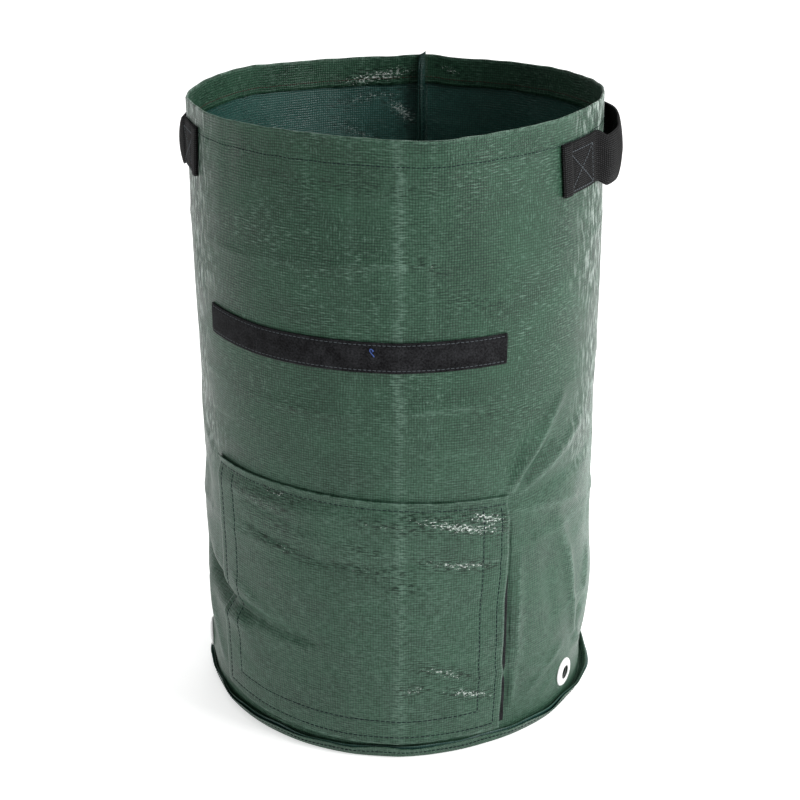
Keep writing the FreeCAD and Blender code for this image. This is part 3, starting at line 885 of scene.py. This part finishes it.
def on_flap(az, z, lift=0.0):
    """Points so far above the flap's outer face, at flat places on the flap."""
    az, z = grid(az, z)
    return on_wall(pulled(az, z), z + tilt(az, z), flap_lift(az, z) + lift)


def blend_flap(obj):
    """Bakes the transform of a piece on the flap into its mesh."""
    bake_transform(obj)


def patch(name, azs, zs, columns, rows, place, materials, thickness, marks=None, wave=0.0):
    """Cloth over azimuths and heights, through a function that places its points."""
    az = np.linspace(*azs, columns)[None]
    z = np.linspace(*zs, rows)[:, None]
    if wave:
        z = z + wave * (1 - smooth(zs[0], zs[0] + 12 * MM, z)) * sine(az * 8)
    az, z = grid(az, z)
    uv = np.stack([np.radians(az) * WALL_R, z], -1)
    found = {key: function(az, z) for key, function in (marks or {}).items()}
    return sheet_object(name, place(az, z), uv, materials, thickness, False, None, found)


def make_flap():
    """The flap over the window, sewn on along its top edge."""
    def wear_and_painted_light(az, z):
        side = np.minimum(arc_mm(az, FLAP_AZS[0]), -arc_mm(az, FLAP_AZS[1]))
        edge = np.minimum(side, np.minimum(z - FLAP_LOW, FLAP_HIGH - z) / MM)
        total = wear_and_painted_light_marks(az, z) + 0.4 * bell(edge, 0, 1.2)
        return np.clip(with_crumples(total, az, z, FLAP_CRUMPLES, 0.35), 0, 1)

    flap = patch("flap_cloth", FLAP_AZS, (FLAP_LOW, FLAP_HIGH), 150, 136, on_flap, [green, green],
                 FLAP_SHEET, {"crease_wear_and_painted_light": wear_and_painted_light, "glint": glint_marks}, 1.0 * MM)
    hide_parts("flap_panel", "flap_sewn_edge")
    return flap


def window_loop(az, z):
    """Outer face of the loop tape on the wall, round the window."""
    gap = 2.3 - 1.2 * smooth(150, 180, z / MM) - 0.7 * bell(z / MM, 66, 5)
    across = az - 2.0 * smooth(15, -FLAP_AZS[0], -az) + gap * smooth(20, 38.2, az)
    return on_wall(across, z + tilt(az, z), 1.5 * MM)


def flap_hook(az, z):
    """Face of the hook tape that meets the flap's cloth."""
    return on_flap(az, z, -FLAP_SHEET - 0.05 * MM)


def make_tapes():
    """The tapes round the window and those on the flap, by side."""
    inset = arc_degrees(TAPE_LOW - FLAP_LOW)
    wide = arc_degrees(TAPE_HIGH - TAPE_LOW)
    upright = (TAPE_LOW, heights("flap_hook_left")[1])
    left, right = FLAP_AZS[0] + inset, FLAP_AZS[1] - inset
    sides = {"left": ((left, left + wide), upright, 14, 110),
             "right": ((right - wide, right), upright, 14, 110),
             "bottom": ((left + wide + 0.1, right - wide - 0.1), (TAPE_LOW, TAPE_HIGH), 120, 14)}
    loops, hooks = {}, {}
    for side, size in sides.items():
        for found, name, place, pile, thickness in (
                (loops, "window_loop", window_loop, loop_pile, 1.45 * MM),
                (hooks, "flap_hook", flap_hook, hook_pile, 0.95 * MM)):
            tape = patch(f"{name}_tape_{side}", *size, place, [pile, pile], thickness)
            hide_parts(f"{name}_{side}")
            found[side] = tape
    return loops, hooks


def strip_place(az, z):
    """Outer face of the strip above the flap, which sags a little in its middle."""
    sag = np.interp(az, (-51, -30, 8.8, 38), (3.2, 0.6, -1.0, -0.3)) * MM
    across = np.abs(z - (PARK_LOW + PARK_HIGH) / 2) / ((PARK_HIGH - PARK_LOW) / 2)
    crown = -0.5 * MM * across ** 8 - 0.25 * MM * bell(across, 0.84, 0.07)
    return on_wall(az, z + sag, 1.75 * MM + crown)


def make_strip():
    """The strip of loop tape above the flap."""
    azs = (PARK_AZ - PARK_HALF, PARK_AZ + PARK_HALF)
    strip = patch("park_strip_tape", azs, (PARK_LOW, PARK_HIGH), 170, 40, strip_place,
                  [loop_pile, loop_pile], 1.6 * MM)
    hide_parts("park_strip")
    return strip


# ---- the handles

# Middle line of a handle's band, from under its front end to the top of its loop: degrees along
# the wall from the handle's middle, and mm out. The rear half is the same.
STRAP_HALF = [(-33.8, 0.2), (-37.2, 0.15), (-37.75, 0.5), (-38.0, 1.7), (-37.8, 2.9), (-37.2, 3.35),
              (-34.6, 3.3), (-33.6, 2.2), (-32.8, 1.9), (-26, 1.9), (-19.8, 1.95), (-18.3, 2.3),
              (-16.6, 4.2), (-13.5, 8.3), (-10, 11.6), (-5.5, 13.8)]
STRAP_PATH = STRAP_HALF + [(0, 14.4)] + [(-along, out) for along, out in STRAP_HALF[::-1]]
DEGREE_MM = 2.9               # a degree of the wall, in mm


def spline(points, count):
    """Evenly spaced places along a smooth curve through points."""
    points = np.array(points, float)
    padded = np.vstack([2 * points[0] - points[1], points, 2 * points[-1] - points[-2]])
    found = []
    t = np.linspace(0, 1, 24, endpoint=False)[:, None]
    for a, b, c, d in zip(padded, padded[1:], padded[2:], padded[3:]):
        found.append(0.5 * (2 * b + (c - a) * t + (2 * a - 5 * b + 4 * c - d) * t ** 2
                            + (3 * b - a - 3 * c + d) * t ** 3))
    found = np.vstack([*found, points[-1:]])
    steps = np.linalg.norm(np.diff(found, axis=0) * (DEGREE_MM, 1), axis=1)
    run = np.concatenate([[0], np.cumsum(steps)])
    at = np.linspace(0, run[-1], count)
    return read(at, run, found), at * MM


def make_handle(side, sign, turned, raised, slack):
    """A handle's webbing: two ends folded under and sewn down, and the loop between."""
    centre = HANDLE_AZ * sign
    path, run = spline(STRAP_PATH, 430)
    along, out = path.T[:, None]
    out = np.where(out > 2.3, np.maximum(out * slack, np.minimum(out, 3.4)), out)
    across = np.linspace(-1, 1, 27)[:, None]
    half = (STRAP_HIGH - STRAP_LOW) / 2
    free = smooth(2.2, 9, out)
    z = (STRAP_LOW + STRAP_HIGH) / 2 + across * half
    z = z + free * (6.8 * smooth(-8, 16, along) - 3 * (1 - smooth(-8, 8, along)) - 2.6) * MM
    z = z + raised * (1 - smooth(-15, 10, along))
    lift = (out - free * (0.5 * across + 2.6 * (across - 0.1) ** 2 - 0.9)) * MM
    lift = lift + 0.10 * MM * np.cos(2 * math.pi * run[None] / (2.3 * MM))
    lift = lift - 0.25 * MM * np.abs(across) ** 14
    az = centre + along * sign + turned * sign * (1 - smooth(-25, -15, along))
    if sign < 0:
        az, z, lift, run = az[:, ::-1], z[:, ::-1], lift[:, ::-1], run[::-1]
    uv = np.stack(grid(run[None], across * half), -1)
    strap = sheet_object(side + "_handle_webbing", on_wall(az, z, lift), uv, [webbing, webbing],
                         STRAP)
    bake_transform(strap)
    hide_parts(side + "_handle_loop", side + "_handle_front_tab", side + "_handle_rear_tab")
    return strap


def box_stitching(name, az, raised, node):
    """A box with a cross in it, sewn through one end of a handle."""
    half_az = arc_degrees(18.5 * MM)
    middle = (STRAP_LOW + STRAP_HIGH) / 2 - 2.5 * MM + raised
    half_z = 14 * MM
    corners = [(-1, -1), (1, -1), (1, 1), (-1, 1), (-1, -1), (1, 1), (1, -1), (-1, 1)]
    lines = []
    for (a, b), (c, d) in zip(corners, corners[1:]):
        t = np.linspace(0, 1, 24)
        azs = az + half_az * (a + (c - a) * t)
        zs = middle + half_z * (b + (d - b) * t)
        lines.append(wall_line(azs, zs, 2.05 * MM))
    seam = stitches(name, lines, grey_thread, 3.1 * MM, 2.5 * MM, 0.36 * MM)
    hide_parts(node)
    return seam


# ---- eyelets

# Sections of the ring outside and of the washer inside: radius and mm out from the wall
RING = [(6.6, 0.75), (6.0, 1.0), (5.95, 1.3), (6.15, 1.75), (6.7, 2.05), (7.6, 2.05), (8.2, 1.75),
        (8.6, 1.35), (10.4, 1.2), (11.7, 0.95), (12.3, 0.5), (12.5, -0.1), (12.4, -0.55),
        (11.6, -0.5), (8.8, -0.3), (8.0, 0.3), (7.2, 0.6)]
WASHER = [(8.9, -1.1), (9.3, -1.15), (11.8, -1.0), (12.4, -1.3), (12.4, -1.8), (11.8, -2.1),
          (9.4, -2.3), (9.0, -2.2), (8.9, -1.8)]


def lathe_ring(name, profile, az, z, node):
    """A moulded ring turned about the wall's normal at a place."""
    step = 9 * MM
    place = on_wall(az, z, 0)
    spread = arc_degrees(step)
    right = on_wall(az + spread, z, 0) - on_wall(az - spread, z, 0)
    up = on_wall(az, z + step, 0) - on_wall(az, z - step, 0)
    right /= np.linalg.norm(right)
    normal = np.cross(right, up)
    normal /= np.linalg.norm(normal)
    up = np.cross(normal, right)
    profile = np.array(profile) * MM
    angle = np.arange(72) / 72 * 2 * math.pi
    spokes = np.cos(angle)[:, None] * right + np.sin(angle)[:, None] * up
    points = (place + profile[:, :1, None] * spokes[None] + profile[:, 1:, None] * normal)
    count = len(profile) * len(angle)
    faces = grid_faces(len(profile) + 1, len(angle), True) % count
    ring = mesh_object(name, points.reshape(-1, 3), faces, None, white_plastic)
    bevel = ring.modifiers.new("round", "SUBSURF")
    bevel.levels = bevel.render_levels = 1
    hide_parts(node)
    return ring


# ---- the seams

def make_seams():
    """All rows of stitches. Returns the pieces on the bag and the one on the flap."""
    def sew(name, node, lines, material, **sizes):
        seam = stitches(name, lines, material, **sizes)
        if node:
            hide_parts(node)
        return seam

    around = np.linspace(-180, 180, 481)
    outer = wall_line(around, RIM_SEAM_Z + 0.4 * MM * sine(around * 5), 0.12 * MM)
    inner = wall_line(around, RIM_SEAM_Z, hem_lift(around, RIM_SEAM_Z) - 0.15 * MM)
    on_bag = [sew("rim_stitches", "rim_stitching", [outer], dark_thread, radius=0.27 * MM),
              sew("hem_stitches_inside", None, [inner], brown_thread)]

    normal = outward(around) * 0.87 - np.array([0, 0, 0.5])
    lines = [(on_fin(around, 5.2 * MM, lift * MM), normal * side)
             for lift, side in ((0.55, -1), (-1.35, 1))]
    on_bag.append(sew("base_seam_stitches", "base_seam_stitching", lines, dark_thread))

    z = np.linspace(4 * MM, RIM_Z - 30 * MM, 300)
    share = 0.5
    lean, apart = seam_lean(z, share)
    lines = []
    for side in (1, -1):
        line = on_wall(SEAM_AZ, z, -SHEET - 0.1 * MM - share * SEAM_WIDTH * (1 - 0.3 * share))
        line[:, 0] -= (lean + side * (apart + 0.15)) * MM
        lines.append((line, np.array([[-side, 0.0, 0.0]]).repeat(len(z), 0)))
    on_bag.append(sew("back_seam_stitches", "back_seam_stitching", lines, dark_thread))

    azs = np.linspace(PARK_AZ - PARK_HALF + 0.7, PARK_AZ + PARK_HALF - 0.7, 260)
    out = outward(azs)
    lines = [(strip_place(azs, z) + out * 0.1 * MM, out)
             for z in (PARK_LOW + 2.2 * MM, PARK_HIGH - 2.2 * MM)]
    on_bag.append(sew("park_strip_stitches", "park_strip_stitching", lines, grey_thread,
                      radius=0.26 * MM))

    azs = np.linspace(FLAP_AZS[0] + 0.5, FLAP_AZS[1] - 0.5, 260)
    lines = [(on_flap(azs, FLAP_HIGH - 7 * MM, 0.1 * MM), outward(azs))]
    on_bag.append(sew("flap_hinge_stitches", "flap_hinge_stitching", lines, dark_thread,
                      pitch=4.2 * MM, length=3.9 * MM, radius=0.30 * MM))

    lines = []
    for inset in FLAP_SEAMS:
        side = arc_degrees(inset)
        left, right, low = FLAP_AZS[0] + side, FLAP_AZS[1] - side, FLAP_LOW + inset
        down = np.linspace(FLAP_HIGH - 9 * MM, low, 130)
        level = np.linspace(left, right, 200)
        level_z = low + 0.9 * MM * sine(level * 8) * (1 if inset < 10 * MM else 0.4)
        for az, z in ((left + 0 * down, down), (level, level_z), (right + 0 * down, down[::-1])):
            lines.append((on_flap(az, z, 0.1 * MM), outward(az)))
    return on_bag, sew("flap_border_stitches", "flap_border_stitching", lines, dark_thread,
                       pitch=4.2 * MM, length=3.9 * MM, radius=0.38 * MM)


def make_tail():
    """A loose end of blue thread on the strip."""
    start = strip_place(np.array(2.5), np.array(353 * MM))
    axes = np.array([(1.0, 0, 0), outward(2.5), (0, 0, 1.0)])
    # Across, out and up from its start, in mm
    bends = [(0, 0.2, 0), (1.2, 1.2, 0.6), (0.6, 2.4, 2.2), (-1.2, 2.2, 3.0), (-1.6, 1.6, 0.8),
             (0.2, 1.8, -1.2), (1.8, 2.1, -3.4)]
    curve = bpy.data.curves.new("thread_tail", "CURVE")
    curve.dimensions = "3D"
    curve.bevel_depth = 0.38 * MM
    curve.bevel_resolution = 3
    curve.use_fill_caps = True
    line = curve.splines.new("NURBS")
    line.points.add(len(bends) - 1)
    for point, bend in zip(line.points, bends):
        point.co = (*(start + bend @ axes * MM), 1)
    line.use_endpoint_u = True
    line.order_u = 3
    curve.materials.append(blue_thread)
    return link("thread_tail", curve)


# ---- putting it together

wall = make_wall()
base = make_base()
seam = make_back_seam()
flap = make_flap()
loops, hooks = make_tapes()
strip = make_strip()
bag_stitches, flap_stitches = make_seams()
tail = make_tail()
for pieces, slot in (((wall, base, seam), "woven_sheet"), ((*loops.values(), strip), "loop_tape"),
                     ((*bag_stitches, tail), "seam_thread")):
    for piece in pieces:
        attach(piece, "bag")
for pieces, slot in (((flap,), "woven_sheet"), (hooks.values(), "hook_tape"),
                     ((flap_stitches,), "seam_thread")):
    for piece in pieces:
        blend_flap(piece)

# How far each handle's front end is turned (degrees) and raised, and how far its loop stands out
HANDLE_FITS = {"right": (1.5, 0, 1.0), "left": (5.0, 4.5 * MM, 0.72)}
for side, sign in (("right", 1), ("left", -1)):
    make_handle(side, sign, *HANDLE_FITS[side])
    for end in ("front", "rear"):
        node = f"{side}_handle_{end}_stitching"
        low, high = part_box(node)
        turned, raised = HANDLE_FITS[side][:2] if end == "front" else (0, 0)
        az = azimuth_of((low + high) / 2) + turned * sign
        sewn = box_stitching(f"{side}_handle_{end}_stitches", az, raised, node)
        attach(sewn, "bag")

for name, (az, z) in EYELETS.items():
    for prefix, profile, node in (("eyelet_ring_", RING, "eyelet_"),
                                  ("eyelet_back_", WASHER, "eyelet_washer_")):
        ring = lathe_ring(prefix + name, profile, az, z, node + name)
        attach(ring, "bag")


# ---- floor, light and camera

def make_floor():
    """A plain pale floor."""
    material, tree = new_material("pale_floor", 0.0)
    shader = tree.nodes["Principled BSDF"]
    where = add(tree, "TexCoord").outputs["Object"]
    colour = blend_colour(spots(where, 3), (0.93, 0.93, 0.93), (0.95, 0.95, 0.95))
    tree.links.new(colour, shader.inputs["Base Color"])
    shader.inputs["Roughness"].default_value = 0.9
    shader.inputs["Emission Color"].default_value = (1, 1, 1, 1)
    shader.inputs["Emission Strength"].default_value = 0.56
    half, low = 14, -0.05 * MM
    points = [(-half, -half, low), (half, -half, low), (half, half, low), (-half, half, low)]
    mesh_object("floor", points, np.array([[0, 1, 2, 3]]), None, material)


def make_world():
    """Soft white surroundings, darker towards the front and the left."""
    world = bpy.data.worlds.new("studio")
    bpy.context.scene.world = world
    world.use_nodes = True
    tree = world.node_tree
    out = tree.nodes["World Output"]
    where = add(tree, "TexCoord").outputs["Generated"]
    split = add(tree, "SeparateXYZ", {0: where})
    front = ramp(split.outputs[1], -0.9, 0.2, 0.21, 0.82)
    left = ramp(split.outputs[0], -1.0, 0.8, 0.4, 1.35)
    above = ramp(split.outputs[2], 0.3, 0.95, 1.0, 1.3)
    level = times(times(front, left), above)
    soft = add(tree, "Background", {"Color": (1, 1, 1, 1), "Strength": level}).outputs[0]
    plain = add(tree, "Background", {"Color": (1, 1, 1, 1), "Strength": 1.0}).outputs[0]
    seen = add(tree, "LightPath").outputs["Is Camera Ray"]
    mixed = add(tree, "MixShader", {0: seen, 1: soft, 2: plain}).outputs[0]
    tree.links.new(mixed, out.inputs["Surface"])


def make_light(name, place, aim, size, power):
    """A square soft light at a place, facing a point."""
    data = bpy.data.lights.new(name, "AREA")
    data.size = size
    data.energy = power
    light = link(name, data)
    light.location = place
    light.rotation_euler = (Vector(aim) - Vector(place)).to_track_quat("-Z", "Y").to_euler()


def make_camera():
    """The camera, at the view this bag is shown from."""
    data = bpy.data.cameras.new("camera")
    data.lens = CAMERA_LENS
    data.sensor_width = 36
    camera = link("camera", data)
    camera.location = polar(CAMERA_AZ, CAMERA_AWAY, CAMERA_Z)
    heading = math.radians(CAMERA_AZ - CAMERA_YAW)
    camera.rotation_euler = (math.radians(90 - CAMERA_PITCH), 0, heading)
    bpy.context.scene.camera = camera


make_floor()
make_world()
make_light("key_light", (2.1, -0.7, 1.5), (0, 0, 0.25), 1.0, 43)
make_light("top_light", (0.2, 0.9, 2.4), (0, 0, 0.4), 1.2, 16)
make_camera()
bpy.context.scene.view_settings.view_transform = "Standard"
